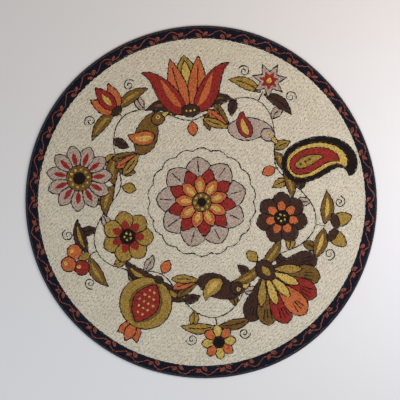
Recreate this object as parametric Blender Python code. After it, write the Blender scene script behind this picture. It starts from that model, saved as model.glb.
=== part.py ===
# Round hooked rug lying flat on a floor: one cloth of wool loops pulled through a foundation,
# and the yarn whipped over a cord all round its edge.
# Metres, +Z up, +Y towards the top of the pattern, origin on the floor under the middle.

import math

import bmesh
import bpy

# Driving dimensions, in metres
RUG_RADIUS = 0.760  # mean radius, out to the whipped edge
PILE_TOP = 0.0080  # foundation and loops together
EDGE_WIDTH = 0.0092  # yarn whipped over its cord, across
EDGE_HEIGHT = 0.0074
SEAM_GAP = 0.0003  # between the cloth and the whipped edge

# How finely the two solids are cut
TOP_RINGS = 24
STATIONS = 6 * TOP_RINGS
EDGE_SIDES = 8

# A hand-made round isn't a true circle. Each row is one slow swell of the outline.
# lobes round the rug, swell (m), heading of a lobe (degrees from +X)
OUTLINE_SWELLS = (
    (2, 0.0037, -57.0),
    (3, 0.0020, -47.6),
    (4, 0.0005, -39.7),
    (5, 0.0016, 6.7),
    (6, 0.0007, 7.2),
)

# The pile lies a little unevenly. Each row is one low wave of its top.
# height (m), waves per metre along X, waves per metre along Y, phase (degrees)
PILE_WAVES = (
    (0.00034, 1.9, 0.6, 20.0),
    (0.00028, -0.8, 2.3, 110.0),
    (0.00020, 3.4, 2.1, 250.0),
    (0.00016, -2.9, 4.2, 65.0),
)
RIM_CALM = 6.0  # the waves fade out over the last sixth of the radius

# The loops at the rim lean outward and lie lower. Each row is one ring down the side.
# inset from the side (m), height (share of the pile's top)
RIM_PROFILE = (
    (0.0024, 0.94),
    (0.0008, 0.78),
    (0.0, 0.55),
    (0.0, 0.0),
)
RIM_INSET = 0.0060  # where the rounded rim meets the level top

MATERIALS = {
    "cream pile": ((0.52, 0.45, 0.34), 0.92),
    "slate edge yarn": ((0.045, 0.055, 0.085), 0.85),
}


def clear_scene():
    for thing in list(bpy.data.objects):
        bpy.data.objects.remove(thing, do_unlink=True)


def station_angle(index, count=STATIONS):
    return 2.0 * math.pi * index / count


def outline_radius(angle):
    swell = sum(
        height * math.cos(lobes * (angle - math.radians(heading)))
        for lobes, height, heading in OUTLINE_SWELLS
    )
    return RUG_RADIUS + swell


def outline_middle():
    """Centre of the outline's own box, which becomes the origin."""
    angles = [station_angle(i) for i in range(STATIONS)]
    xs = [outline_radius(a) * math.cos(a) for a in angles]
    ys = [outline_radius(a) * math.sin(a) for a in angles]
    return (min(xs) + max(xs)) / 2.0, (min(ys) + max(ys)) / 2.0


MIDDLE_X, MIDDLE_Y = outline_middle()


def floor_point(angle, radius):
    return (
        radius * math.cos(angle) - MIDDLE_X,
        radius * math.sin(angle) - MIDDLE_Y,
    )


def cloth_radius(angle):
    """Where the cloth ends, just inside the whipped edge."""
    return outline_radius(angle) - EDGE_WIDTH - SEAM_GAP


def pile_height(x, y, share):
    """Top of the pile at a point that lies at a share of the cloth's radius."""
    waves = sum(
        height * math.sin(2.0 * math.pi * (per_x * x + per_y * y) + math.radians(phase))
        for height, per_x, per_y, phase in PILE_WAVES
    )
    return PILE_TOP + waves * min(1.0, (1.0 - share) * RIM_CALM)


def make_material(name):
    color, roughness = MATERIALS[name]
    material = bpy.data.materials.new(name)
    material.use_nodes = True
    shader = material.node_tree.nodes["Principled BSDF"]
    shader.inputs["Base Color"].default_value = (*color, 1.0)
    shader.inputs["Roughness"].default_value = roughness
    shader.inputs["Metallic"].default_value = 0.0
    return material


def make_object(name, bm, material_name):
    bmesh.ops.recalc_face_normals(bm, faces=bm.faces)
    mesh = bpy.data.meshes.new(name)
    bm.to_mesh(mesh)
    bm.free()
    mesh.shade_smooth()
    mesh.set_sharp_from_angle(angle=math.radians(40.0))
    mesh.materials.append(make_material(material_name))
    piece = bpy.data.objects.new(name, mesh)
    bpy.context.scene.collection.objects.link(piece)
    return piece


def join_rings(bm, lower, upper):
    """Faces between two closed rings of as many points."""
    count = len(lower)
    for i in range(count):
        following = (i + 1) % count
        bm.faces.new((lower[i], lower[following], upper[following], upper[i]))


def add_pile_top(bm):
    """Even triangles over the whole top: six more points on each ring out."""
    rings = []
    for ring in range(TOP_RINGS + 1):
        count = max(1, 6 * ring)
        share = ring / TOP_RINGS
        points = []
        for i in range(count):
            angle = station_angle(i, count)
            x, y = floor_point(angle, share * (cloth_radius(angle) - RIM_INSET))
            points.append(bm.verts.new((x, y, pile_height(x, y, share))))
        rings.append(points)
    for ring in range(TOP_RINGS):
        inner, outer = rings[ring], rings[ring + 1]
        for sector in range(6):
            for step in range(ring + 1):
                here = outer[(sector * (ring + 1) + step) % len(outer)]
                beyond = outer[(sector * (ring + 1) + step + 1) % len(outer)]
                within = inner[(sector * ring + step) % len(inner)]
                bm.faces.new((here, beyond, within))
                if step < ring:
                    within_next = inner[(sector * ring + step + 1) % len(inner)]
                    bm.faces.new((beyond, within_next, within))
    return rings[-1]


def make_cloth():
    """Foundation and loops as one slab: flat underside, rounded rim, slightly uneven top."""
    bm = bmesh.new()
    ring = add_pile_top(bm)
    for inset, height in RIM_PROFILE:
        lower = []
        for i in range(STATIONS):
            angle = station_angle(i)
            x, y = floor_point(angle, cloth_radius(angle) - inset)
            lower.append(bm.verts.new((x, y, height * PILE_TOP)))
        join_rings(bm, lower, ring)
        ring = lower
    bm.faces.new(list(reversed(ring)))
    return make_object("hooked_rug", bm, "cream pile")


def make_whipped_edge():
    """Ring of yarn over cord, flat where it lies on the floor and where it meets the cloth."""
    bm = bmesh.new()
    rings = []
    flat_reach = math.cos(math.pi / EDGE_SIDES)
    for side in range(EDGE_SIDES):
        turn = station_angle(side + 0.5, EDGE_SIDES)
        across = 0.5 + 0.5 * math.cos(turn) / flat_reach
        height = EDGE_HEIGHT * (0.5 + 0.5 * math.sin(turn) / flat_reach)
        points = []
        for i in range(STATIONS):
            angle = station_angle(i)
            radius = outline_radius(angle) - EDGE_WIDTH * (1.0 - across)
            x, y = floor_point(angle, radius)
            points.append(bm.verts.new((x, y, height)))
        rings.append(points)
    for side in range(EDGE_SIDES):
        join_rings(bm, rings[side], rings[(side + 1) % EDGE_SIDES])
    return make_object("whipped_edge", bm, "slate edge yarn")


clear_scene()
make_cloth()
make_whipped_edge()
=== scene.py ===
import math

import bpy
import numpy as np
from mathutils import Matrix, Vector
from mathutils.bvhtree import BVHTree
from mathutils.kdtree import KDTree


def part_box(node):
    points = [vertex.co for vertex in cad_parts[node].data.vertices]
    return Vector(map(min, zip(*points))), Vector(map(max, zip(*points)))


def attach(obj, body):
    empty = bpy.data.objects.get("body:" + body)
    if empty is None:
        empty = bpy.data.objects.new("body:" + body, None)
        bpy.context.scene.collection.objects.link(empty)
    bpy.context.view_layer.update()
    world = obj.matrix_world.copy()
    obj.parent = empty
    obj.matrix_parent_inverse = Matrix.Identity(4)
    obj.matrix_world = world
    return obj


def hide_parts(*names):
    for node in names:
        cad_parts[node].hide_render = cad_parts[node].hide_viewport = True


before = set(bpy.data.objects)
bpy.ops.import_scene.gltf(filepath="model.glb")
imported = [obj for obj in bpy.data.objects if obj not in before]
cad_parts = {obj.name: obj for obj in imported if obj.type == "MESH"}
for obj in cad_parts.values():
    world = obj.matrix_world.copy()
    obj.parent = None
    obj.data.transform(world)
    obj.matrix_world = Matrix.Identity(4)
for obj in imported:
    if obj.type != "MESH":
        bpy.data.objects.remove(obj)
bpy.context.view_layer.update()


# The pattern, as it is drawn on the foundation before any hooking: a flower in the middle, a
# wreath of blossoms, birds and fruit on a running vine, and a leafy vine in the dark border.
# Every figure grows up +Y from its own foot at 0,0 and is then set down facing outward.

FIELD_MIDDLE = np.array([0.0024, -0.0013])
FIELD_RADIUS = 0.7057
FIRST_BLOSSOM = 97.0  # degrees round from +X
BLOSSOMS = 5
APART = 360.0 / BLOSSOMS
areas = []  # outline, yarn, whether a dark row goes round it, in the order of drawing
single_rows = []  # points, yarn, how many areas were drawn before it


def midrib(length, bend=0.0, curl=0.0, steps=26):
    """The middle line of a leaf or petal. It bends evenly, and curls more towards its tip."""
    along = np.linspace(0.0, 1.0, steps)
    heading = bend * along + curl * along**3
    between = 0.5 * (heading[1:] + heading[:-1])
    step = length / (steps - 1)
    x = np.concatenate([[0.0], np.cumsum(np.sin(between) * step)])
    y = np.concatenate([[0.0], np.cumsum(np.cos(between) * step)])
    return along, heading, x, y


def blade(length, width, bend=0.0, curl=0.0, fullest=0.5, blunt=1.0, steps=26):
    along, heading, x, y = midrib(length, bend, curl, steps)
    half = 0.5 * width * np.sin(np.pi * along ** (math.log(0.5) / math.log(fullest))) ** blunt
    left = np.stack([x - half * np.cos(heading), y + half * np.sin(heading)], 1)
    right = np.stack([x + half * np.cos(heading), y - half * np.sin(heading)], 1)
    return np.concatenate([left, right[-2:0:-1]])


def petal(length, width, fullest=0.5, blunt=1.0):
    """A straight blade."""
    return blade(length, width, 0.0, 0.0, fullest, blunt)


def disc(width, height=None, steps=40):
    turn = np.linspace(0.0, 2.0 * np.pi, steps, endpoint=False)
    return np.stack([0.5 * width * np.cos(turn), 0.5 * (height or width) * np.sin(turn)], 1)


def star(points, outer, inner):
    turn = np.arange(2 * points) * np.pi / points + np.pi / 2
    reach = np.where(np.arange(2 * points) % 2 == 0, outer, inner)
    return np.stack([reach * np.cos(turn), reach * np.sin(turn)], 1)


def curl_line(size, turns, steps=36):
    """A tendril that leaves its foot along +Y and winds inward."""
    turn = np.linspace(0.0, 2.0 * np.pi * turns, steps)
    reach = size * (1.0 - 0.86 * turn / turn[-1])
    return np.stack([reach * np.cos(turn) - size, reach * np.sin(turn)], 1)


def ring_of(count, radius):
    turns = 2.0 * np.pi * np.arange(count) / count
    return [(radius * math.cos(turn), radius * math.sin(turn)) for turn in turns]


def moved(points, x=0.0, y=0.0, turn=0.0, size=1.0, mirrored=False):
    points = np.asarray(points, float) * size * ((-1.0, 1.0) if mirrored else (1.0, 1.0))
    across = math.cos(turn) * points[:, 0] - math.sin(turn) * points[:, 1]
    up = math.sin(turn) * points[:, 0] + math.cos(turn) * points[:, 1]
    return np.stack([across + x, up + y], 1)


def on_field(degrees, radius):
    turn = math.radians(degrees)
    return FIELD_MIDDLE + radius * np.array([math.cos(turn), math.sin(turn)])


def draw_row(points, yarn="outline"):
    single_rows.append((np.asarray(points), yarn, len(areas)))


class Figure:
    """One figure of the pattern: where its foot stands, its lean from outward, and its size."""

    def __init__(self, degrees, radius, size=1.0, mirrored=False, lean=0.0):
        self.foot = on_field(degrees, radius)
        self.turn = math.radians(degrees - 90.0) + lean
        self.size = size
        self.mirrored = mirrored

    def fill(self, shape, yarn, x=0.0, y=0.0, turn=0.0, outlined=True):
        placed = moved(moved(shape, x, y, turn), *self.foot, self.turn, self.size, self.mirrored)
        areas.append((placed, yarn, outlined))

    def row(self, points, x=0.0, y=0.0, turn=0.0):
        placed = moved(points, x, y, turn)
        draw_row(moved(placed, *self.foot, self.turn, self.size, self.mirrored))

    def petals(self, count, shape, yarns, reach, y=0.0, start=0.0, outlined=True, vein=None):
        for i in range(count):
            turn = start + 2.0 * math.pi * i / count
            place = (-reach * math.sin(turn), y + reach * math.cos(turn), turn)
            self.fill(shape, yarns[i % len(yarns)], *place, outlined)
            if vein:
                self.row([(0.0, vein[0]), (0.0, vein[1])], *place)

    def dots(self, places, yarn="straw", width=0.012):
        for x, y in places:
            self.fill(disc(width, steps=10), yarn, x, y, outlined=False)

    def rib(self, length, bend, curl, part, x=0.0, y=0.0, turn=0.0):
        """A dark row along a part of a leaf's or petal's middle line."""
        _, _, rib_x, rib_y = midrib(length, bend, curl)
        self.row(np.stack([rib_x, rib_y], 1)[slice(*part)], x, y, turn)

    def leaf(self, length, width, bend, yarn, vein=None, x=0.0, y=0.0, turn=0.0):
        self.fill(blade(length, width, bend, 0.0, 0.46), yarn, x, y, turn)
        if vein is None:
            self.rib(length, bend, 0.0, (3, 20), x, y, turn)
        else:
            rise = 0.17 * length
            inner = blade(0.66 * length, 0.30 * width, 0.66 * bend, 0.0, 0.46)
            inner = moved(inner, 0.085 * rise * bend, rise, -0.17 * bend)
            self.fill(inner, vein, x, y, turn, outlined=False)

    def leaf_pair(self, length, width, yarns, vein=None, turn=1.35, bend=0.7, y=0.0, out=0.008):
        for side, yarn in zip((1, -1), yarns):
            self.leaf(length, width, bend * side, yarn, vein, out * side, y, -turn * side)


def draw_tulip(figure):
    figure.leaf_pair(0.215, 0.058, ("dark brown", "dark brown"), "olive", 0.55, 1.5, -0.010, 0.004)
    figure.fill(petal(0.230, 0.110, 0.52, 0.85), "gold", 0.0, 0.030)
    figure.fill(petal(0.150, 0.046, 0.50, 0.90), "straw", 0.0, 0.090)
    for side in (1, -1):
        inner = blade(0.235, 0.080, -0.35 * side, 0.2 * side, 0.42, 0.85)
        figure.fill(inner, "terracotta", 0.016 * side, 0.020, -0.32 * side)
        figure.rib(0.235, -0.35 * side, 0.2 * side, (9, 22), 0.016 * side, 0.020, -0.32 * side)
    for side in (1, -1):
        outer = blade(0.262, 0.088, -1.15 * side, 1.7 * side, 0.34, 0.9)
        streak = blade(0.160, 0.028, -0.95 * side, 0.7 * side, 0.40, 0.9)
        figure.fill(outer, "crimson", 0.022 * side, 0.014, -0.88 * side)
        figure.fill(streak, "terracotta", 0.034 * side, 0.038, -0.85 * side, outlined=False)
    figure.fill(disc(0.080, 0.052), "dark brown", 0.0, 0.020)
    figure.dots([(-0.018, 0.021), (0.0, 0.019), (0.018, 0.021)], width=0.010)


def draw_daisy(figure):
    figure.leaf_pair(0.150, 0.052, ("olive", "olive"), "gold", 0.95, 1.1, -0.160, 0.0)
    figure.petals(11, petal(0.112, 0.062, 0.60, 0.75), ("taupe",), 0.034)
    figure.petals(11, petal(0.060, 0.022, 0.50, 0.8), ("crimson",), 0.056, outlined=False)
    figure.fill(disc(0.112), "olive")
    figure.dots(ring_of(10, 0.039), width=0.011)
    figure.fill(disc(0.050), "outline")


def draw_pomegranate(figure):
    figure.leaf_pair(0.185, 0.060, ("dark brown", "dark brown"), "gold", 0.85, 1.5, 0.0, 0.006)
    for lean in (-0.62, 0.62, 0.0):
        figure.fill(blade(0.100, 0.050), "terracotta", -0.012 * lean, 0.222, -lean)
    figure.fill(disc(0.238, 0.236), "gold", 0.0, 0.126)
    figure.fill(petal(0.212, 0.150, 0.5, 0.8), "olive", 0.0, 0.020, outlined=False)
    figure.fill(petal(0.192, 0.120, 0.5, 0.8), "crimson", 0.0, 0.030)
    for y, seeds in ((0.066, 2), (0.094, 3), (0.122, 4), (0.150, 3), (0.178, 2)):
        figure.dots([((i - 0.5 * (seeds - 1)) * 0.023, y) for i in range(seeds)])
    figure.fill(disc(0.044, 0.032), "dark brown", 0.0, 0.004)


def draw_carnation(figure):
    figure.leaf_pair(0.165, 0.050, ("olive", "olive"), "gold", 1.35, 0.9, -0.012, 0.0)
    for lean, yarn in ((-1.0, "dark brown"), (1.0, "dark brown"), (-0.67, "olive"),
                       (0.67, "olive"), (-0.34, "crimson"), (0.34, "crimson"),
                       (0.0, "terracotta")):
        length = 0.290 - 0.035 * abs(lean)
        figure.fill(petal(length, 0.098, 0.76, 0.62), yarn, 0.0, 0.010, -lean)
        for side in (-0.020, 0.0, 0.020):
            rib = [(0.55 * side, 0.72 * length), (side, 0.89 * length)]
            figure.row(rib, 0.0, 0.010, -lean)
    for lean, yarn in ((-0.82, "gold"), (0.82, "gold"), (-0.41, "straw"), (0.41, "straw"),
                       (0.0, "straw")):
        figure.fill(petal(0.180, 0.042, 0.70, 0.8), yarn, 0.0, 0.010, -lean)
    figure.fill(petal(0.112, 0.084, 0.46, 0.7), "dark brown", 0.0, -0.034)
    figure.fill(petal(0.060, 0.030, 0.5, 0.8), "gold", 0.0, -0.006, outlined=False)


def draw_paisley(figure):
    figure.leaf(0.150, 0.046, 0.9, "olive", "gold", turn=-1.20)
    figure.leaf(0.110, 0.046, -0.9, "olive", "gold", turn=1.20)
    figure.fill(blade(0.420, 0.200, -0.45, 3.0, 0.32, 0.70, 44), "outline")
    figure.fill(blade(0.330, 0.152, -0.42, 2.3, 0.32, 0.70, 38), "straw", 0.001, 0.022)
    figure.fill(blade(0.262, 0.112, -0.38, 1.7, 0.33, 0.72, 34), "crimson", 0.001, 0.036)
    figure.fill(blade(0.150, 0.052, -0.30, 0.8, 0.36, 0.75, 28), "gold", 0.0, 0.062)
    figure.dots([(-0.001, 0.092), (-0.004, 0.118), (-0.008, 0.142)], "dark brown")


def draw_bird(figure, body, wing, tail):
    for i, (lean, yarn) in enumerate(zip((-0.34, 0.0, 0.34), tail)):
        feather = blade(0.165, 0.044, 0.35, 0.0, 0.66, 0.75)
        figure.fill(feather, yarn, -0.062, 0.006 * i, 1.66 + lean)
        figure.rib(0.165, 0.35, 0.0, (10, 22), -0.062, 0.006 * i, 1.66 + lean)
    figure.fill(blade(0.232, 0.118, -0.9, 0.9, 0.42, 0.72), body, -0.092, 0.0, -1.30)
    figure.fill(disc(0.072, 0.064), body, 0.104, 0.074)
    figure.fill(petal(0.044, 0.026, 0.3), "straw", 0.130, 0.072, -1.75)
    figure.fill(blade(0.142, 0.074, 0.5, 0.6, 0.40, 0.8), wing, 0.036, 0.020, 1.26)
    figure.fill(blade(0.092, 0.030, 0.5, 0.4, 0.40, 0.8), "straw", 0.020, 0.024, 1.26, False)
    figure.fill(disc(0.022, steps=12), "straw", 0.108, 0.080, outlined=False)
    figure.fill(disc(0.008, steps=8), "outline", 0.109, 0.080, outlined=False)


def draw_rosette(figure, yarn, streak):
    figure.petals(7, petal(0.100, 0.078, 0.62, 0.66), (yarn,), 0.014)
    figure.petals(7, petal(0.060, 0.034, 0.60, 0.8), (streak,), 0.014, outlined=False)
    figure.fill(disc(0.066), "outline")
    figure.dots(ring_of(5, 0.015), width=0.010)


def draw_bud(figure):
    figure.leaf_pair(0.165, 0.050, ("olive", "olive"), "gold")
    for side in (1, -1):
        sepal = blade(0.120, 0.052, -0.7 * side, 0.4 * side, 0.42, 0.85)
        figure.fill(sepal, "terracotta", 0.010 * side, 0.004, -0.62 * side)
    figure.fill(petal(0.135, 0.066, 0.45, 0.85), "crimson", 0.0, 0.004)
    figure.fill(petal(0.066, 0.022, 0.45, 0.85), "straw", 0.0, 0.034, outlined=False)
    figure.fill(disc(0.050, 0.034), "dark brown")


def draw_berries(figure):
    figure.leaf_pair(0.160, 0.052, ("olive", "dark brown"), "gold")
    for x, y, yarn in ((-0.038, 0.052, "terracotta"), (0.038, 0.052, "crimson"),
                       (0.0, 0.098, "terracotta")):
        figure.fill(disc(0.066), yarn, x, y)
        figure.dots([(x - 0.008, y + 0.010)], width=0.018)
    figure.fill(blade(0.064, 0.034), "gold", 0.0, -0.012)


def draw_little_daisy(figure):
    figure.leaf_pair(0.155, 0.046, ("gold", "olive"))
    figure.petals(8, petal(0.062, 0.040, 0.6, 0.7), ("straw", "terracotta"), 0.014, 0.072)
    figure.fill(disc(0.050), "outline", 0.0, 0.072)


def draw_acorns(figure):
    figure.leaf_pair(0.150, 0.058, ("olive", "olive"), "straw", 1.45, 0.5)
    for side in (1, -1):
        nut = petal(0.098, 0.060, 0.46, 0.7)
        figure.fill(nut, "gold", 0.020 * side, 0.026, -0.50 * side)
        figure.fill(disc(0.068, 0.036), "dark brown", 0.031 * side, 0.044, -0.50 * side)


def draw_star_flower(figure):
    figure.leaf_pair(0.155, 0.050, ("dark brown", "gold"))
    figure.fill(star(7, 0.078, 0.040), "taupe", 0.0, 0.064)
    figure.fill(star(7, 0.046, 0.024), "crimson", 0.0, 0.064, outlined=False)
    figure.dots([(0.0, 0.064)], width=0.024)


def circle_points(radius, steps=900):
    """Points all round the field at a radius that is a function of the angle."""
    turn = np.linspace(0.0, 2.0 * np.pi, steps)
    reach = radius(turn)
    return FIELD_MIDDLE + np.stack([reach * np.cos(turn), reach * np.sin(turn)], 1)


def wreath_radius(turn):
    return 0.428 - 0.072 * np.cos(BLOSSOMS * (turn - math.radians(FIRST_BLOSSOM)))


def draw_border_vine():
    middle, swing, waves = 0.0264, 0.0120, 44
    draw_row(circle_points(lambda t: FIELD_RADIUS + middle + swing * np.sin(waves * t), 1400), "rust")
    for i in range(2 * waves):
        side = 1 if i % 2 == 0 else -1
        degrees = 180.0 * (i + 0.5) / waves
        leaf = Figure(degrees, FIELD_RADIUS + middle - 0.004 * side, lean=-2.2 * side)
        leaf.fill(blade(0.031, 0.016), "rust", outlined=False)


def draw_wreath():
    draw_row(circle_points(lambda t: 0.222 + 0.012 * np.abs(np.sin(9 * t))))
    draw_row(circle_points(wreath_radius))
    leaf_yarns = ("gold", "olive", "taupe", "dark brown")
    for i in range(BLOSSOMS):
        bulge = FIRST_BLOSSOM + APART * (i + 0.5)
        draw_row([on_field(bulge, 0.500), on_field(bulge, 0.545)])
        for side in (1, -1):
            tendril = Figure(bulge + 13.5 * side, 0.600, 1.0, side > 0, -0.25 * side)
            tendril.row(curl_line(0.026, 1.5))
        for k, off in enumerate((-25, -18, -11, 11, 18, 25)):
            turn = math.radians(bulge + off)
            radius = wreath_radius(turn)
            slope = (wreath_radius(turn + 0.01) - radius) / (0.01 * radius)
            side = 1 if off < 0 else -1
            inward = -1 if abs(off) == 18 else 1
            lean = math.pi / 2 - math.atan(slope) - side * inward * 0.85
            leaf = Figure(bulge + off, radius, lean=lean)
            leaf.leaf(0.078, 0.040, 0.5 * side * inward, leaf_yarns[(k + i) % 4])


def draw_figures():
    small = (draw_bud, draw_berries, draw_little_daisy, draw_acorns, draw_star_flower)
    for i in range(BLOSSOMS):
        dip = FIRST_BLOSSOM + APART * i
        bulge = dip + 0.5 * APART
        small[i](Figure(bulge, 0.537, 0.98, i % 2 == 1))
        drop = Figure(dip, 0.288)
        drop.fill(petal(0.062, 0.044, 0.5, 0.8), ("terracotta", "gold")[i % 2])
    draw_tulip(Figure(FIRST_BLOSSOM, 0.378))
    draw_daisy(Figure(FIRST_BLOSSOM + APART, 0.538, 0.98))
    draw_pomegranate(Figure(FIRST_BLOSSOM + 2 * APART, 0.378, 0.95, True))
    draw_carnation(Figure(FIRST_BLOSSOM + 3 * APART, 0.384, 0.92))
    draw_paisley(Figure(FIRST_BLOSSOM + 4 * APART - 4.0, 0.376, 0.88))
    tail = ("olive", "terracotta", "gold")
    draw_bird(Figure(FIRST_BLOSSOM + 0.5 * APART - 3.0, 0.335, 0.84), "olive", "terracotta", tail)
    draw_rosette(Figure(FIRST_BLOSSOM + 1.5 * APART, 0.352, 0.98), "gold", "crimson")
    draw_bird(Figure(FIRST_BLOSSOM + 2.5 * APART + 3.0, 0.330, 0.84, True), "dark brown", "gold", tail)
    draw_rosette(Figure(FIRST_BLOSSOM + 3.5 * APART, 0.352, 0.98), "dark brown", "terracotta")
    draw_bird(Figure(FIRST_BLOSSOM + 4.5 * APART - 3.0, 0.335, 0.84), "taupe", "crimson", tail)


def draw_middle_flower():
    flower = Figure(90.0, 0.0, lean=0.1)
    flower.petals(9, petal(0.176, 0.118, 0.62, 0.66), ("taupe",), 0.020,
                  vein=(0.110, 0.158))
    half_step = math.pi / 9
    flower.petals(9, petal(0.128, 0.060, 0.60, 0.8), ("crimson",), 0.020, start=half_step)
    flower.petals(9, petal(0.100, 0.050, 0.60, 0.8), ("terracotta",), 0.015)
    flower.petals(9, petal(0.058, 0.020, 0.60, 0.8), ("straw",), 0.035, outlined=False)
    flower.fill(disc(0.082), "olive")
    flower.dots(ring_of(8, 0.029), width=0.011)
    flower.fill(disc(0.034), "outline")


draw_border_vine()
draw_wreath()
draw_figures()
draw_middle_flower()


def inside(places, outline):
    """Which of the places lie inside a closed outline."""
    low, high = outline.min(0), outline.max(0)
    near = np.flatnonzero(((places > low) & (places < high)).all(1))
    x, y = places[near, 0][:, None], places[near, 1][:, None]
    x0, y0 = outline[:, 0], outline[:, 1]
    x1, y1 = np.roll(x0, -1), np.roll(y0, -1)
    rise = np.where(y1 == y0, 1e-12, y1 - y0)
    crossings = ((y0 > y) != (y1 > y)) & (x < x0 + (y - y0) * (x1 - x0) / rise)
    within = np.zeros(len(places), bool)
    within[near] = crossings.sum(1) % 2 == 1
    return within


def yarns_at(places):
    """The yarn that the pattern asks for at each place."""
    from_middle = np.hypot(*(places - FIELD_MIDDLE).T)
    yarns = np.where(from_middle > FIELD_RADIUS, "navy", "cream").astype("U12")
    for outline, yarn, _ in areas:
        yarns[inside(places, outline)] = yarn
    return yarns


# Yarn: two-ply rug wool, dyed by hand, so one colour differs a little from skein to skein.
# The group shades any piece of it: a slow drift of the dye, each loop's own tone, painted
# shade on the roots between the loops, the twist of the plies and loose fibres.


def dyed(dye):
    """A dye as the shader wants it, from its values on a screen."""
    screen = np.array(dye) / 255.0
    light = np.where(screen <= 0.04045, screen / 12.92, ((screen + 0.055) / 1.055) ** 2.4)
    return (*light, 1.0)


def new_group(name, inputs, outputs):
    group = bpy.data.node_groups.new(name, "ShaderNodeTree")
    for label, kind, value in inputs:
        socket = group.interface.new_socket(label, in_out="INPUT", socket_type="NodeSocket" + kind)
        socket.default_value = value
    for label, kind in outputs:
        group.interface.new_socket(label, in_out="OUTPUT", socket_type="NodeSocket" + kind)
    return group


def add_node(tree, kind, values=None, **settings):
    node = tree.nodes.new("ShaderNode" + kind)
    for name, value in settings.items():
        setattr(node, name, value)
    for name, value in (values or {}).items():
        node.inputs[name].default_value = value
    return node


def maths(tree, operation, first, second):
    """One sum on links or numbers."""
    node = add_node(tree, "Math", operation=operation)
    for socket, value in zip(node.inputs, (first, second)):
        if isinstance(value, bpy.types.NodeSocket):
            tree.links.new(value, socket)
        else:
            socket.default_value = value
    return node.outputs[0]


def make_yarn_group():
    group = new_group(
        "Rug wool",
        (("Dye", "Color", (0.5, 0.5, 0.5, 1.0)), ("Skein drift", "Float", 0.10),
         ("Loop tone", "Float", 0.12), ("Root shade", "Float", 0.5), ("Relief", "Float", 1.0)),
        (("Color", "Color"), ("Normal", "Vector")),
    )
    link = group.links.new
    given = group.nodes.new("NodeGroupInput").outputs
    result = group.nodes.new("NodeGroupOutput").inputs
    place = add_node(group, "TexCoord").outputs["Object"]
    drift = add_node(group, "TexNoise", {"Scale": 11.0, "Detail": 3.0, "Roughness": 0.6})
    fleck = add_node(group, "TexNoise", {"Scale": 95.0, "Detail": 2.0, "Roughness": 0.7})
    link(place, drift.inputs["Vector"])
    link(place, fleck.inputs["Vector"])
    tone = add_node(group, "Attribute", attribute_name="tone").outputs["Fac"]
    root = add_node(group, "Attribute", attribute_name="root").outputs["Fac"]
    drift_part = maths(group, "MULTIPLY", maths(group, "SUBTRACT", drift.outputs["Fac"], 0.5),
                       given["Skein drift"])
    fleck_part = maths(group, "MULTIPLY", maths(group, "SUBTRACT", fleck.outputs["Fac"], 0.5), 0.40)
    tone_part = maths(group, "MULTIPLY", tone, given["Loop tone"])
    # Painted shade: the feet of the loops, deep between them, are drawn darker by the Root shade
    # share.
    depth = maths(group, "MULTIPLY", maths(group, "POWER", root, 1.6), given["Root shade"])
    total = maths(group, "ADD", maths(group, "ADD", drift_part, fleck_part), tone_part)
    bright = maths(group, "SUBTRACT", maths(group, "ADD", total, 1.0), depth)
    shaded = add_node(group, "VectorMath", operation="SCALE")
    link(given["Dye"], shaded.inputs[0])
    link(bright, shaded.inputs["Scale"])
    link(shaded.outputs[0], result["Color"])

    along = add_node(group, "UVMap", uv_map="Yarn").outputs["UV"]
    twist = add_node(group, "TexWave", {"Scale": 95.0, "Distortion": 1.2, "Detail": 1.0},
                     bands_direction="DIAGONAL")
    fibres = add_node(group, "TexNoise", {"Scale": 1500.0, "Detail": 2.0, "Roughness": 0.7})
    link(along, twist.inputs["Vector"])
    link(along, fibres.inputs["Vector"])
    height = maths(group, "ADD", maths(group, "MULTIPLY", twist.outputs["Fac"], 0.65),
                   maths(group, "MULTIPLY", fibres.outputs["Fac"], 0.5))
    bump = add_node(group, "Bump", {"Distance": 0.0005, "Strength": 0.8})
    link(maths(group, "MULTIPLY", height, given["Relief"]), bump.inputs["Height"])
    link(bump.outputs["Normal"], result["Normal"])
    return group


rug_wool = make_yarn_group()


def new_material(name, values):
    """A material with a Principled shader set to the given values."""
    material = bpy.data.materials.new(name)
    material.use_nodes = True
    shader = material.node_tree.nodes["Principled BSDF"]
    for label, value in values.items():
        shader.inputs[label].default_value = value
    return material, material.node_tree, shader.inputs


def make_wool(name, dye, drift, tone, root_shade, relief=1.0):
    finish = {"Roughness": 0.92, "Specular IOR Level": 0.10, "Sheen Weight": 0.03,
              "Sheen Roughness": 0.5}
    material, tree, shader = new_material(name, finish)
    own = {"Dye": dyed(dye), "Skein drift": drift, "Loop tone": tone, "Root shade": root_shade,
           "Relief": relief}
    wool = add_node(tree, "Group", own, node_tree=rug_wool)
    tree.links.new(wool.outputs["Color"], shader["Base Color"])
    tree.links.new(wool.outputs["Normal"], shader["Normal"])
    return material


# Where each loop stands. The dark rows and the border's vine are hooked first, one loop after
# another along the drawn line. The rest is filled in rows that follow those lines, evenly near
# them and more loosely further off, which is how a hooker works.

LOOP_STEP = 0.0045  # from loop to loop along a row
ROW_PITCH = 0.00475  # from row to row
LINE_ROOM = 0.96  # the first row crowds a dark row to this share of the pitch
CROSSING_ROOM = 0.74  # a line's loop is left out within this share of a step of an earlier line
chance = np.random.default_rng(11)

rug_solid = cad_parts["hooked_rug"]
solid_corners = np.array([corner.co for corner in rug_solid.data.vertices])
foot_corners = solid_corners[solid_corners[:, 2] < 0.0001]
foot_turn, foot_index = np.unique(
    np.round(np.arctan2(foot_corners[:, 1], foot_corners[:, 0]), 5), return_index=True)
foot_reach = np.hypot(*foot_corners[foot_index, :2].T)


def cloth_reach(places):
    """How far out the cloth goes in the direction of each place."""
    turn = np.arctan2(places[:, 1], places[:, 0])
    return np.interp(turn, foot_turn, foot_reach, period=2.0 * np.pi)


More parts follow.
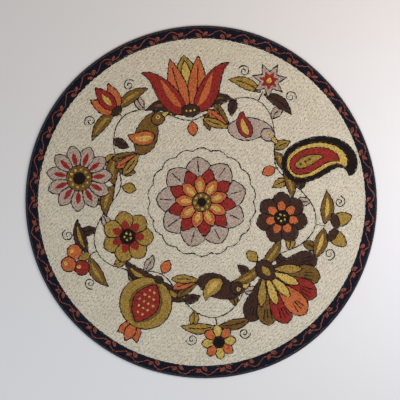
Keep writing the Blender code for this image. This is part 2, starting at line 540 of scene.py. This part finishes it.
def even_steps(points, step, closed):
    """Places at equal steps along a drawn line, and the heading there."""
    if closed:
        points = np.concatenate([points, points[:1]])
    lengths = np.hypot(*np.diff(points, axis=0).T)
    run = np.concatenate([[0.0], np.cumsum(lengths)])
    count = max(2, int(round(run[-1] / step)))
    stations = (np.arange(count) + 0.5) * run[-1] / count
    places = np.stack([np.interp(stations, run, points[:, i]) for i in (0, 1)], 1)
    piece = np.clip(np.searchsorted(run, stations) - 1, 0, len(lengths) - 1)
    way = np.diff(points, axis=0)[piece]
    return places, np.arctan2(way[:, 1], way[:, 0])


def room_from(others, places):
    """How far each place is from the nearest of the others."""
    tree = KDTree(len(others))
    for i, (x, y) in enumerate(others):
        tree.insert((x, y, 0.0), i)
    tree.balance()
    return np.array([tree.find((x, y, 0.0))[2] for x, y in places])


def hook_lines(step):
    """Loops along every dark row and vine, and the places along the other colour edges."""
    rows, edges = [], []
    waiting = list(single_rows)
    for i, (outline, _, outlined) in enumerate(areas):
        while waiting and waiting[0][2] <= i:
            points, yarn, _ = waiting.pop(0)
            rows.append((*even_steps(points, step, False), yarn))
        rows = [cut_away(row, outline) for row in rows]
        edges = [edge[~inside(edge, outline)] for edge in edges]
        places, heading = even_steps(outline, step, True)
        if outlined:
            rows.append((places, heading, "outline"))
        else:
            edges.append(places)
    return rows, edges


def cut_away(row, outline):
    places, heading, yarn = row
    kept = ~inside(places, outline)
    return places[kept], heading[kept], yarn


round_turn = np.linspace(0.0, 2.0 * np.pi, 4000, endpoint=False)
round_way = np.stack([np.cos(round_turn), np.sin(round_turn)], 1)
rim_line = round_way * (cloth_reach(round_way) - 0.5 * ROW_PITCH)[:, None]
rim_row = (*even_steps(rim_line, LOOP_STEP, True), "navy")

line_rows, _ = hook_lines(LOOP_STEP)
line_places = np.zeros((0, 2))
line_heading = np.zeros(0)
line_yarns = np.zeros(0, "U12")
for places, heading, yarn in [*line_rows, rim_row]:
    if len(places) == 0:
        continue
    if len(line_places):
        free = room_from(line_places, places) >= CROSSING_ROOM * LOOP_STEP
        places, heading = places[free], heading[free]
    line_places = np.concatenate([line_places, places])
    line_heading = np.concatenate([line_heading, heading])
    line_yarns = np.concatenate([line_yarns, np.full(len(places), yarn)])

RIM = 0.78  # half the width of the square that the maps below cover
MAP_CELL = 0.0025
LINE_DETAIL = 0.0012  # step along the lines that the map of distances is drawn from
GENTLE_SLOPE = 0.2  # where the map is flatter than this, a loop is pulled less to its row
CROWD = 6  # most loops that one cell of the sorting grid holds
LOOP_AREA = LOOP_STEP * ROW_PITCH
KEEP_APART = math.sqrt(LOOP_AREA * 2.0 / math.sqrt(3.0))  # with the loops in even triangles
LINE_APART = 0.92  # share of that room that is kept from the loops of a dark row
PUSH = 0.42  # share of the missing room that one turn of settling gives back
ROW_PULL, ROW_FADE, LEAST_PULL = 0.80, 0.72, 0.10  # pull to the first row, and how it fades
SCATTER = 0.2  # share of a loop's room by which the first ones stand off their even places
FIRST_ROOM = 0.68  # share of a pitch that the first loops keep off the lines
SETTLING = 24  # turns
HOLE_STEP = 0.0012
HOLE_ROOM = 0.80  # share of the room between loops that is clear all round in a hole
FILLED_APART = 0.85  # share of it that is kept between two loops that fill holes
MOST_HOLES = 3000
LOOSE_ROWS = 10.0  # rows away from a line at which the hooking is loosest
LOOSE_TURN = 0.45  # how far the headings of loose loops spread, in radians
WOBBLE = 0.0018  # how far the rows stray together
WOBBLE_WAVES = 14
WOBBLE_LENGTHS = (0.010, 0.024)
STRAY = 0.0004  # how far a single loop stands off its row
FULLNESS = 0.97  # width of a dark row's loops as a share of a full loop's
SWELL, UNEVENNESS = 0.75, 0.12  # how it changes along the row, and from loop to loop
LEAST_FULL, MOST_FULL = 0.30, 1.45

dense_rows, colour_edges = hook_lines(LINE_DETAIL)
dark_line = np.concatenate([row[0] for row in dense_rows] + [rim_line])
colour_edge = np.concatenate(colour_edges + [FIELD_MIDDLE + FIELD_RADIUS * round_way])


def distance_map(line):
    """Distance to a line of close places, on a square grid over the rug."""
    ticks = np.arange(-RIM, RIM, MAP_CELL)
    cells = np.stack(np.meshgrid(ticks, ticks), 2).reshape(-1, 2)
    return room_from(line, cells).reshape(len(ticks), len(ticks))


row_map = np.minimum(
    distance_map(dark_line) + (1.0 - LINE_ROOM) * ROW_PITCH,
    distance_map(colour_edge) + 0.5 * ROW_PITCH,
)
slope_y, slope_x = np.gradient(row_map, MAP_CELL)


def read_map(grid, places):
    column = (places[:, 0] + RIM) / MAP_CELL
    line = (places[:, 1] + RIM) / MAP_CELL
    i = np.clip(line.astype(int), 0, grid.shape[0] - 2)
    j = np.clip(column.astype(int), 0, grid.shape[1] - 2)
    up, across = line - i, column - j
    low = grid[i, j] * (1.0 - across) + grid[i, j + 1] * across
    high = grid[i + 1, j] * (1.0 - across) + grid[i + 1, j + 1] * across
    return low * (1.0 - up) + high * up


def away_from_lines(places):
    away = np.stack([read_map(slope_x, places), read_map(slope_y, places)], 1)
    return away / np.maximum(np.hypot(*away.T), GENTLE_SLOPE)[:, None]


def push_apart(moving, fixed):
    """How far each loop is pushed by those that stand too close."""
    everyone = np.concatenate([moving, fixed])
    cell = np.floor((everyone + RIM) / KEEP_APART).astype(int)
    wide = int(2.0 * RIM / KEEP_APART) + 3
    key = (cell[:, 0] + 1) * wide + cell[:, 1] + 1
    order = np.argsort(key, kind="stable")
    first = np.searchsorted(key[order], np.arange(wide * wide + 1))
    rank = np.arange(len(order)) - first[key[order]]
    table = np.full((wide * wide, CROWD), -1)
    table[key[order][rank < CROWD], rank[rank < CROWD]] = order[rank < CROWD]
    push = np.zeros_like(moving)
    own_key = key[:len(moving)]
    for side_step in (-wide - 1, -wide, -wide + 1, -1, 0, 1, wide - 1, wide, wide + 1):
        for rank in range(CROWD):
            other = table[own_key + side_step, rank]
            gap = moving - everyone[other]
            apart = np.maximum(np.hypot(gap[:, 0], gap[:, 1]), 1e-7)
            needed = np.where(other >= len(moving), LINE_APART * KEEP_APART, KEEP_APART)
            close = (other >= 0) & (apart < needed) & (apart > 1e-6)
            push += gap * (close * PUSH * (needed - apart) / apart)[:, None]
    return push


def keep_on_cloth(places, margin):
    reach = cloth_reach(places) - margin
    far = np.hypot(*places.T)
    return places * np.minimum(1.0, reach / np.maximum(far, 1e-6))[:, None]


def first_scatter():
    """Loops spread evenly over the cloth, off the dark rows."""
    rise = KEEP_APART * math.sqrt(3.0) / 2.0
    lines, columns = np.mgrid[-RIM:RIM:rise, -RIM:RIM:KEEP_APART]
    columns = columns + 0.5 * KEEP_APART * (np.arange(lines.shape[0]) % 2)[:, None]
    places = np.stack([columns.ravel(), lines.ravel()], 1)
    places += chance.uniform(-SCATTER, SCATTER, places.shape) * KEEP_APART
    on_cloth = np.hypot(*places.T) < cloth_reach(places) - ROW_PITCH
    places = places[on_cloth]
    return places[read_map(row_map, places) > FIRST_ROOM * ROW_PITCH]


def settle(places, turns):
    for _ in range(turns):
        places = keep_on_cloth(places + push_apart(places, line_places), ROW_PITCH)
        depth = read_map(row_map, places)
        row = np.maximum(1.0, np.round(depth / ROW_PITCH))
        pull = np.maximum(LEAST_PULL, ROW_PULL * ROW_FADE ** (row - 1.0))
        places = places + away_from_lines(places) * (pull * (row * ROW_PITCH - depth))[:, None]
    return places


def fill_holes(places):
    """One more loop wherever a hole is left that is wide enough for it."""
    ticks = np.arange(-RIM, RIM, HOLE_STEP)
    spots = np.stack(np.meshgrid(ticks, ticks), 2).reshape(-1, 2)
    spots = spots[np.hypot(*spots.T) < cloth_reach(spots) - ROW_PITCH]
    room = room_from(np.concatenate([places, line_places]), spots)
    roomy = np.flatnonzero(room > HOLE_ROOM * KEEP_APART)
    added = []
    for i in roomy[np.argsort(-room[roomy], kind="stable")]:
        if all(math.dist(spots[i], other) > FILLED_APART * KEEP_APART for other in added):
            added.append(spots[i])
    return np.concatenate([places, np.array(added).reshape(-1, 2)[:MOST_HOLES]])


filling = settle(fill_holes(settle(first_scatter(), SETTLING)), SETTLING // 3)
away = away_from_lines(filling)
filling_heading = np.arctan2(away[:, 1], away[:, 0]) + 0.5 * math.pi
looseness = np.clip(read_map(row_map, filling) / (LOOSE_ROWS * ROW_PITCH), 0.1, 1.0)
filling_heading += chance.normal(0.0, LOOSE_TURN, len(filling)) * looseness


def hand_wobble(places):
    """How far a hand strays from the drawn line: the same way for loops that stand together."""
    stray = np.zeros_like(places)
    for _ in range(WOBBLE_WAVES):
        length = chance.uniform(*WOBBLE_LENGTHS)
        way = chance.uniform(0.0, 2.0 * math.pi)
        phase = chance.uniform(0.0, 2.0 * math.pi)
        wave = np.sin(2.0 * math.pi / length * (places @ [math.cos(way), math.sin(way)]) + phase)
        push = chance.uniform(0.0, 2.0 * math.pi)
        stray += wave[:, None] * [math.cos(push), math.sin(push)]
    return stray * WOBBLE / math.sqrt(WOBBLE_WAVES)


loop_places = np.concatenate([line_places, filling])
loop_places = keep_on_cloth(loop_places + hand_wobble(loop_places)
                            + chance.normal(0.0, STRAY, loop_places.shape), 0.45 * ROW_PITCH)
loop_in_line = np.arange(len(loop_places)) < len(line_places)
loop_heading = np.concatenate([line_heading, filling_heading])
loop_yarns = np.concatenate([line_yarns, yarns_at(filling)])
# A dark row looks beaded: here its loops stand full, there their neighbours close over them.
fullness = FULLNESS + SWELL * hand_wobble(loop_places)[:, 0] / WOBBLE
fullness += chance.normal(0.0, UNEVENNESS, len(fullness))
fullness = np.clip(fullness, LEAST_FULL, MOST_FULL)


# The loops: wool yarn pulled up through the foundation, one piece for each colour. A loop is a
# rounded hump that runs along its row, leans a little, and presses against its neighbours.

LOOP_LENGTH = 0.0074
LOOP_WIDTH = 0.0057
LOOP_RIDGE = 0.0038
LOOP_DEPTH = 0.0024  # how far down a loop can be seen between its neighbours
LOOP_SIDES = 8  # a number that four goes into
LOOP_SIZES = (0.90, 1.10)
TONES, MOST_TONE = 0.55, 1.3  # spread of the loops' own tones, and the limit to it
ROW_WIDTHS = (0.55, 1.08)  # loops of a coloured row, as shares of a full loop's width
BEAD_RISE = 0.0013  # how much higher a loop of a dark row stands for each width that it is fuller
LOOP_LEAN = 0.00035
LOOP_DIP = 0.0007  # most that a loop is shorter than its neighbours
RIDGE_TILT = 0.00016
RIM_TOP = 0.0044  # height of the pile at the very rim
MOST_LOOPS = 19500  # in one piece
YARNS = {
    # yarn: dye, skein drift, loop tone, root shade
    "cream": ((202, 193, 171), 0.20, 0.11, 0.30),
    "taupe": ((174, 155, 139), 0.28, 0.18, 0.34),
    "crimson": ((142, 45, 38), 0.50, 0.28, 0.35),
    "terracotta": ((186, 101, 58), 0.50, 0.26, 0.35),
    "olive": ((114, 84, 40), 0.55, 0.30, 0.35),
    "gold": ((156, 126, 60), 0.50, 0.28, 0.35),
    "straw": ((192, 163, 85), 0.36, 0.22, 0.34),
    "dark brown": ((64, 43, 34), 0.50, 0.28, 0.35),
    "outline": ((29, 21, 18), 0.30, 0.30, 0.30),
    "navy": ((20, 22, 33), 0.50, 0.28, 0.35),
    "rust": ((132, 70, 55), 0.50, 0.30, 0.35),
}

pile_surface = BVHTree.FromObject(rug_solid, bpy.context.evaluated_depsgraph_get())
down = Vector((0.0, 0.0, -1.0))


def pile_top(places):
    """Height of the pile, as the solid has it."""
    tops = []
    for x, y in places:
        hit = pile_surface.ray_cast(Vector((x, y, 0.1)), down)[0]
        tops.append(hit.z if hit else RIM_TOP)
    return np.array(tops)


def new_mesh(name, corners, faces, corner_values=None, yarn_map=None):
    """A smooth mesh of triangles with a map from above and values on its corners."""
    mesh = bpy.data.meshes.new(name)
    mesh.vertices.add(len(corners))
    mesh.vertices.foreach_set("co", np.asarray(corners, np.float32).ravel())
    mesh.loops.add(3 * len(faces))
    mesh.loops.foreach_set("vertex_index", np.asarray(faces, np.int32).ravel())
    mesh.polygons.add(len(faces))
    mesh.polygons.foreach_set("loop_start", np.arange(0, 3 * len(faces), 3, dtype=np.int32))
    mesh.polygons.foreach_set("loop_total", np.full(len(faces), 3, np.int32))
    mesh.update(calc_edges=True)
    mesh.shade_smooth()
    used = np.asarray(faces).ravel()
    from_above = np.asarray(corners)[used, :2]
    low, high = from_above.min(0), from_above.max(0)
    layer = mesh.uv_layers.new(name="OFBake")
    layer.uv.foreach_set("vector", ((from_above - low) / (high - low)).astype(np.float32).ravel())
    if yarn_map is not None:
        layer = mesh.uv_layers.new(name="Yarn")
        layer.uv.foreach_set("vector", np.asarray(yarn_map, np.float32)[used].ravel())
    for label, values in (corner_values or {}).items():
        attribute = mesh.attributes.new(label, "FLOAT", "POINT")
        attribute.data.foreach_set("value", np.asarray(values, np.float32))
    return mesh


def new_object(name, data):
    made = bpy.data.objects.new(name, data)
    bpy.context.scene.collection.objects.link(made)
    return made


def new_piece(name, mesh, materials):
    piece = new_object(name, mesh)
    for material in materials:
        mesh.materials.append(material)
    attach(piece, "root")
    return piece


def make_loops(name, which, material, beaded):
    """One joined mesh of humps at the chosen places."""
    count = len(which)
    size = chance.uniform(*LOOP_SIZES, (count, 1))
    turn = np.arange(LOOP_SIDES) * 2.0 * np.pi / LOOP_SIDES
    in_line = loop_in_line[which]
    width = np.where(in_line, chance.uniform(*ROW_WIDTHS, count), 1.0)
    rise = np.zeros(count)
    if beaded:
        width = np.where(in_line, fullness[which], 1.0)
        rise = BEAD_RISE * (width - 1.0)
    width = width[:, None]
    along = 0.5 * LOOP_LENGTH * size * np.cos(turn)
    across = 0.5 * LOOP_WIDTH * size * width * np.sin(turn)
    lean = chance.normal(0.0, LOOP_LEAN, (count, 2))
    ridge_along = 0.5 * LOOP_RIDGE * size * np.array([1.0, -1.0]) + lean[:, :1]
    ridge_across = np.repeat(lean[:, 1:], 2, 1)
    along = np.concatenate([along, ridge_along], 1)
    across = np.concatenate([across, ridge_across], 1)

    top = pile_top(loop_places[which]) - chance.uniform(0.0, LOOP_DIP, count) + rise
    ridge_tilt = chance.normal(0.0, RIDGE_TILT, (count, 1)) * np.array([1.0, -1.0])
    foot = np.repeat((top - LOOP_DEPTH)[:, None], LOOP_SIDES, 1)
    height = np.concatenate([foot, top[:, None] + ridge_tilt], 1)

    heading = loop_heading[which][:, None]
    x = loop_places[which, 0][:, None] + along * np.cos(heading) - across * np.sin(heading)
    y = loop_places[which, 1][:, None] + along * np.sin(heading) + across * np.cos(heading)
    corners = np.stack([x, y, height], 2).reshape(-1, 3)

    # Each side goes up to the nearer end of the ridge, and two faces close the ridge itself.
    front, back = LOOP_SIDES, LOOP_SIDES + 1
    quarter = LOOP_SIDES // 4
    pattern = [(i, (i + 1) % LOOP_SIDES, front if i < quarter or i >= 3 * quarter else back)
               for i in range(LOOP_SIDES)]
    pattern += [(front, quarter, back), (back, 3 * quarter, front)]
    faces = np.array(pattern)[None] + (LOOP_SIDES + 2) * np.arange(count)[:, None, None]

    tone = np.clip(chance.normal(0.0, TONES, count), -MOST_TONE, MOST_TONE)
    tone = np.repeat(tone, LOOP_SIDES + 2)
    # Painted shade: 1 at each loop's feet, where the wool is drawn darker, 0 along its ridge.
    root = np.tile(np.repeat([1.0, 0.0], [LOOP_SIDES, 2]), count)
    strand = np.stack([along + chance.uniform(0.0, 1.0, (count, 1)), across], 2).reshape(-1, 2)
    mesh = new_mesh(name, corners, faces.reshape(-1, 3), {"tone": tone, "root": root}, strand)
    return new_piece(name, mesh, [material])


for yarn, (dye, drift, tone, root_shade) in YARNS.items():
    label = yarn.replace(" ", "_")
    wool = make_wool(f"{yarn} wool", dye, drift, tone, root_shade)
    which = np.flatnonzero(loop_yarns == yarn)
    which = which[np.argsort(np.hypot(*loop_places[which].T), kind="stable")]
    parts = max(1, math.ceil(len(which) / MOST_LOOPS))
    for i, share in enumerate(np.array_split(which, parts)):
        name = f"{label}_loops" if parts == 1 else f"{label}_loops_{i + 1}"
        make_loops(name, share, wool, yarn == "outline")


# The foundation: one round of linen with its hem turned under and sewn down. The loops stand
# in it. Its top, seen deep between the loops, is painted shade: the wool's dye, darkened.
# Inside the hem its back shows the flat side of every row, in the pattern's colours.

FOUNDATION_RINGS = 80
HEM_RINGS = 3
BACK_RISE = 0.0006  # the hem is doubled, so the back inside it lies this much higher
LEAST_TOP = 0.0012  # least height of its upper side
CLOTH_RIM = 0.0030  # height of its upper side at the very rim
INSET = 0.0001  # how much it stays inside the solid's rim and under the feet of the loops
# Painted shade: the foundation's top shows the wool's dye darkened to this share, standing in for
# shade between the loops.
ROOT_PAINTED_SHADE = 0.44  # how light the wool looks deep between the loops, as a share of its dye
BACK_DYE = 0.85


def make_weave_group():
    """Plain weave: warp and weft threads with thicker slubs and shaded gaps between them."""
    group = new_group(
        "Plain weave",
        (("Thread", "Color", (0.42, 0.34, 0.22, 1.0)), ("Gap", "Color", (0.26, 0.21, 0.14, 1.0)),
         ("Threads", "Float", 98.0), ("Slubs", "Float", 60.0)),
        (("Color", "Color"), ("Height", "Float")),
    )
    link = group.links.new
    given = group.nodes.new("NodeGroupInput").outputs
    result = group.nodes.new("NodeGroupOutput").inputs
    place = add_node(group, "TexCoord").outputs["Object"]
    warp = add_node(group, "TexWave", {"Distortion": 0.6, "Detail": 1.0}, bands_direction="X")
    weft = add_node(group, "TexWave", {"Distortion": 0.6, "Detail": 1.0}, bands_direction="Y")
    slub = add_node(group, "TexNoise", {"Detail": 3.0})
    for texture, scale in ((warp, "Threads"), (weft, "Threads"), (slub, "Slubs")):
        link(place, texture.inputs["Vector"])
        link(given[scale], texture.inputs["Scale"])
    threads = maths(group, "MAXIMUM", warp.outputs["Fac"], weft.outputs["Fac"])
    shade = maths(group, "MULTIPLY", threads, maths(group, "ADD", slub.outputs["Fac"], 0.45))
    mix = add_node(group, "Mix", data_type="RGBA")
    link(shade, mix.inputs["Factor"])
    link(given["Gap"], mix.inputs["A"])
    link(given["Thread"], mix.inputs["B"])
    link(mix.outputs["Result"], result["Color"])
    link(threads, result["Height"])
    return group


plain_weave = make_weave_group()


def make_linen(name, thread, gap, stitched):
    """Linen. Where it is stitched, the flat backs of the yarn cover most of the weave."""
    material, tree, shader = new_material(name, {"Roughness": 0.9, "Specular IOR Level": 0.25})
    link = tree.links.new
    weave = add_node(tree, "Group", {"Thread": thread, "Gap": gap}, node_tree=plain_weave)
    colour = weave.outputs["Color"]
    height = weave.outputs["Height"]
    if stitched:
        place = add_node(tree, "TexCoord").outputs["Object"]
        stitch = add_node(tree, "TexVoronoi", {"Scale": 215.0, "Randomness": 0.75})
        link(place, stitch.inputs["Vector"])
        cover = add_node(tree, "MapRange", {"From Min": 0.62, "From Max": 0.50})
        link(stitch.outputs["Distance"], cover.inputs["Value"])
        yarn = add_node(tree, "Attribute", attribute_name="yarn_dye_and_painted_shade")
        over = add_node(tree, "Mix", data_type="RGBA")
        link(cover.outputs["Result"], over.inputs["Factor"])
        link(colour, over.inputs["A"])
        link(yarn.outputs["Color"], over.inputs["B"])
        colour = over.outputs["Result"]
        height = maths(tree, "SUBTRACT", 1.0, stitch.outputs["Distance"])
    bump = add_node(tree, "Bump", {"Distance": 0.0006, "Strength": 0.8})
    link(height, bump.inputs["Height"])
    link(bump.outputs["Normal"], shader["Normal"])
    link(colour, shader["Base Color"])
    return material


def make_painted_root_shade():
    """Painted shade: the foundation's top in the wool's dye, darkened, for the shaded wool deep
    between the loops.
    """
    finish = {"Roughness": 0.95, "Specular IOR Level": 0.15}
    material, tree, shader = new_material("painted shade between loops", finish)
    dye = add_node(tree, "Attribute", attribute_name="yarn_dye_and_painted_shade")
    tree.links.new(dye.outputs["Color"], shader["Base Color"])
    return material


def round_net(rings):
    """Even triangles over a disc, as unit places and corner numbers, rim last."""
    places, starts = [(0.0, 0.0)], [0]
    for ring in range(1, rings + 1):
        starts.append(len(places))
        for i in range(6 * ring):
            turn = 2.0 * math.pi * i / (6 * ring)
            places.append((ring / rings * math.cos(turn), ring / rings * math.sin(turn)))
    faces = []
    for ring in range(rings):
        outer, inner = 6 * (ring + 1), max(1, 6 * ring)
        for sector in range(6):
            for i in range(ring + 1):
                here = starts[ring + 1] + (sector * (ring + 1) + i) % outer
                beyond = starts[ring + 1] + (sector * (ring + 1) + i + 1) % outer
                within = starts[ring] + (sector * ring + i) % inner
                faces.append((here, beyond, within))
                if i < ring:
                    within_next = starts[ring] + (sector * ring + i + 1) % inner
                    faces.append((beyond, within_next, within))
    return np.array(places), np.array(faces), starts


net, net_faces, ring_starts = round_net(FOUNDATION_RINGS)
spread = net * (cloth_reach(net) - INSET)[:, None]
share_out = np.hypot(*net.T)
top_height = np.maximum(LEAST_TOP, pile_top(spread) - LOOP_DEPTH - INSET)
rim_count = 6 * FOUNDATION_RINGS
rim_start = ring_starts[FOUNDATION_RINGS]
top_height[rim_start:] = CLOTH_RIM
hem_start = (FOUNDATION_RINGS - HEM_RINGS) / FOUNDATION_RINGS
back_height = np.where(share_out > hem_start - 1e-6, 0.0, BACK_RISE)
top_corners = np.column_stack([spread, top_height])
back_corners = np.column_stack([spread, back_height])
rim = rim_start + np.arange(rim_count)
rim_next = rim_start + (np.arange(rim_count) + 1) % rim_count
side_faces = np.concatenate([
    np.stack([rim + len(net), rim_next + len(net), rim_next], 1),
    np.stack([rim + len(net), rim_next, rim], 1),
])
foundation_corners = np.concatenate([top_corners, back_corners])
foundation_faces = np.concatenate([net_faces, net_faces[:, ::-1] + len(net), side_faces])
foundation_mesh = new_mesh("foundation", foundation_corners, foundation_faces)
face_middles = foundation_corners[foundation_faces].mean(1)
middle_reach = np.hypot(*face_middles[:, :2].T) / cloth_reach(face_middles[:, :2])
is_top = np.arange(len(foundation_faces)) < len(net_faces)
root_yarns = yarns_at(foundation_corners[:, :2])
root_yarns[root_yarns == "rust"] = "navy"  # the vine's leaves are finer than the net of corners
corner_dyes_and_shade = np.array([dyed(YARNS[yarn][0]) for yarn in root_yarns])
# Painted shade: on the top the wool's dye is darkened for the shade deep between the loops; the back
# keeps its own share.
corner_dyes_and_shade[:, :3] *= np.repeat([ROOT_PAINTED_SHADE, BACK_DYE], len(net))[:, None]
dye_and_shade_layer = foundation_mesh.attributes.new("yarn_dye_and_painted_shade", "FLOAT_COLOR", "POINT")
dye_and_shade_layer.data.foreach_set("color", corner_dyes_and_shade.astype(np.float32).ravel())
sort = np.where(is_top, 0, np.where(middle_reach > hem_start, 2, 1))
foundation_mesh.polygons.foreach_set("material_index", sort.astype(np.int32))
sorts = [
    make_painted_root_shade(),
    make_linen("hooked linen", (0.38, 0.31, 0.20, 1.0), (0.23, 0.19, 0.12, 1.0), True),
    make_linen("linen hem", (0.42, 0.34, 0.22, 1.0), (0.26, 0.21, 0.14, 1.0), False),
]
foundation = new_piece("foundation", foundation_mesh, sorts)
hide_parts("hooked_rug")


# The whipped edge: slate yarn wrapped closely over a cord and through the hem, all the way
# round. Each wrap is a ridge that runs a little aslant over the cord.

WRAP_PITCH = 0.0041
WRAP_STEPS = 4
WRAP_SIDES = 10
WRAP_RELIEF = 0.0005
WRAP_SLANT = 0.9  # wraps that one turn of yarn moves on from the inner to the outer side
SQUARENESS = 0.35  # 0 for a round cord, 1 for a square one
WRAP_TONES, MOST_WRAP_TONE = 0.6, 1.2
PAST_CLOTH = 0.004  # every corner of the ring's outer side is further than this from the cloth
FLAT_BAND = 0.30  # share of its height, up and down from the middle, where its sides are flat
SLATE = (50, 49, 55)

edge_low, edge_high = (np.array(corner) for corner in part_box("whipped_edge"))
edge_corners = np.array([corner.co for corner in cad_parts["whipped_edge"].data.vertices])
edge_turn = np.arctan2(edge_corners[:, 1], edge_corners[:, 0])
edge_reach = np.hypot(*edge_corners[:, :2].T)
edge_height = float(edge_high[2] - edge_low[2])


def reach_of(chosen):
    turns, index = np.unique(np.round(edge_turn[chosen], 4), return_index=True)
    return turns, edge_reach[chosen][index]


# The flats of the solid's outer and inner sides, where the ring is widest.
middle_height = np.abs(edge_corners[:, 2] - 0.5 * edge_height) < FLAT_BAND * edge_height
outer_side = middle_height & (edge_reach > cloth_reach(edge_corners[:, :2]) + PAST_CLOTH)
inner_side = middle_height & ~outer_side
outer_turn, outer_reach = reach_of(outer_side)
inner_turn, inner_reach = reach_of(inner_side)
wraps = int(round(2.0 * np.pi * outer_reach.mean() / WRAP_PITCH))
stations = WRAP_STEPS * wraps
station_turn = 2.0 * np.pi * np.arange(stations) / stations - np.pi
outside = np.interp(station_turn, outer_turn, outer_reach, period=2.0 * np.pi)
within = np.interp(station_turn, inner_turn, inner_reach, period=2.0 * np.pi)
side_turn = 2.0 * np.pi * (np.arange(WRAP_SIDES) + 0.5) / WRAP_SIDES
rounding = np.maximum(np.abs(np.cos(side_turn)), np.abs(np.sin(side_turn))) ** SQUARENESS
wrap_tone = np.clip(chance.normal(0.0, WRAP_TONES, wraps), -MOST_WRAP_TONE, MOST_WRAP_TONE)
wrap_tone = np.repeat(wrap_tone, WRAP_STEPS)
around = np.cos(side_turn)[None] / rounding
above = np.sin(side_turn)[None] / rounding
phase = np.arange(stations)[:, None] / WRAP_STEPS + 0.5 * WRAP_SLANT * around
ridge = WRAP_RELIEF * (0.5 + 0.5 * np.cos(2.0 * np.pi * phase))
half_width = 0.5 * (outside - within)[:, None] - WRAP_RELIEF + ridge
half_height = 0.5 * edge_height - WRAP_RELIEF + ridge
reach = 0.5 * (outside + within)[:, None] + half_width * around
height = np.maximum(0.0, 0.5 * edge_height + half_height * above)
edge_points = np.stack([reach * np.cos(station_turn)[:, None],
                        reach * np.sin(station_turn)[:, None], height], 2).reshape(-1, 3)
here = np.arange(stations)[:, None] * WRAP_SIDES + np.arange(WRAP_SIDES)
along_one = np.roll(here, -1, 0)
around_one = np.roll(here, -1, 1)
both = np.roll(along_one, -1, 1)
edge_faces = np.concatenate([
    np.stack([here, along_one, both], 2).reshape(-1, 3),
    np.stack([here, both, around_one], 2).reshape(-1, 3),
])
# Painted shade: the grooves between the wraps are drawn darker through the wool's Root shade.
edge_groove_shade = 1.0 - ridge / WRAP_RELIEF
strand = np.stack([np.broadcast_to(side_turn * 0.5 * edge_height, ridge.shape),
                   np.broadcast_to(phase * WRAP_PITCH, ridge.shape)], 2).reshape(-1, 2)
edge_mesh = new_mesh("edge_wraps", edge_points, edge_faces,
                     {"tone": np.repeat(wrap_tone, WRAP_SIDES), "root": edge_groove_shade.ravel()}, strand)
slate_wool = make_wool("slate edge wool", SLATE, 0.22, 0.16, 0.45, 0.8)
edge_wraps = new_piece("edge_wraps", edge_mesh, [slate_wool])
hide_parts("whipped_edge")


# Where it lies: a plain pale floor, seen from straight above. A key lamp stands close on the
# right, a warm one at the upper right, and a cool one fills in from the lower left.

FRAME_WIDTH = 1.7265
CAMERA_HEIGHT = 6.0
AIM = (-0.0051, 0.0080)

floor_mesh = bpy.data.meshes.new("floor")
floor_corners = [(-9.0, -9.0, -0.0004), (9.0, -9.0, -0.0004), (9.0, 9.0, -0.0004),
                 (-9.0, 9.0, -0.0004)]
floor_mesh.from_pydata(floor_corners, [], [(0, 1, 2, 3)])
floor = new_object("floor", floor_mesh)
floor_look = {"Base Color": (0.62, 0.61, 0.59, 1.0), "Roughness": 0.7}
floor_finish, _, _ = new_material("pale floor", floor_look)
floor_mesh.materials.append(floor_finish)


def add_lamp(name, place, size, power, colour):
    lamp = bpy.data.lights.new(name, "AREA")
    lamp.shape = "DISK"
    lamp.size = size
    lamp.energy = power
    lamp.color = colour
    holder = new_object(name, lamp)
    holder.location = place
    holder.rotation_euler = (-Vector(place)).to_track_quat("-Z", "Y").to_euler()


add_lamp("key lamp", (1.75, 0.0, 1.3), 1.2, 26.0, (0.68, 0.80, 1.0))
add_lamp("warm lamp", (1.99, 1.15, 2.6), 1.6, 44.0, (1.0, 0.66, 0.38))
add_lamp("fill lamp", (-1.15, -1.99, 2.6), 1.6, 45.0, (0.66, 0.80, 1.0))

world = bpy.data.worlds.new("studio")
world.use_nodes = True
backdrop = world.node_tree.nodes["Background"].inputs
backdrop["Color"].default_value = (0.98, 0.98, 0.98, 1.0)
backdrop["Strength"].default_value = 0.45
bpy.context.scene.world = world

camera_data = bpy.data.cameras.new("camera")
camera_data.sensor_width = 36.0
camera_data.lens = camera_data.sensor_width * CAMERA_HEIGHT / FRAME_WIDTH
camera = new_object("camera", camera_data)
camera.location = (*AIM, CAMERA_HEIGHT)
bpy.context.scene.camera = camera
bpy.context.scene.view_settings.view_transform = "Standard"
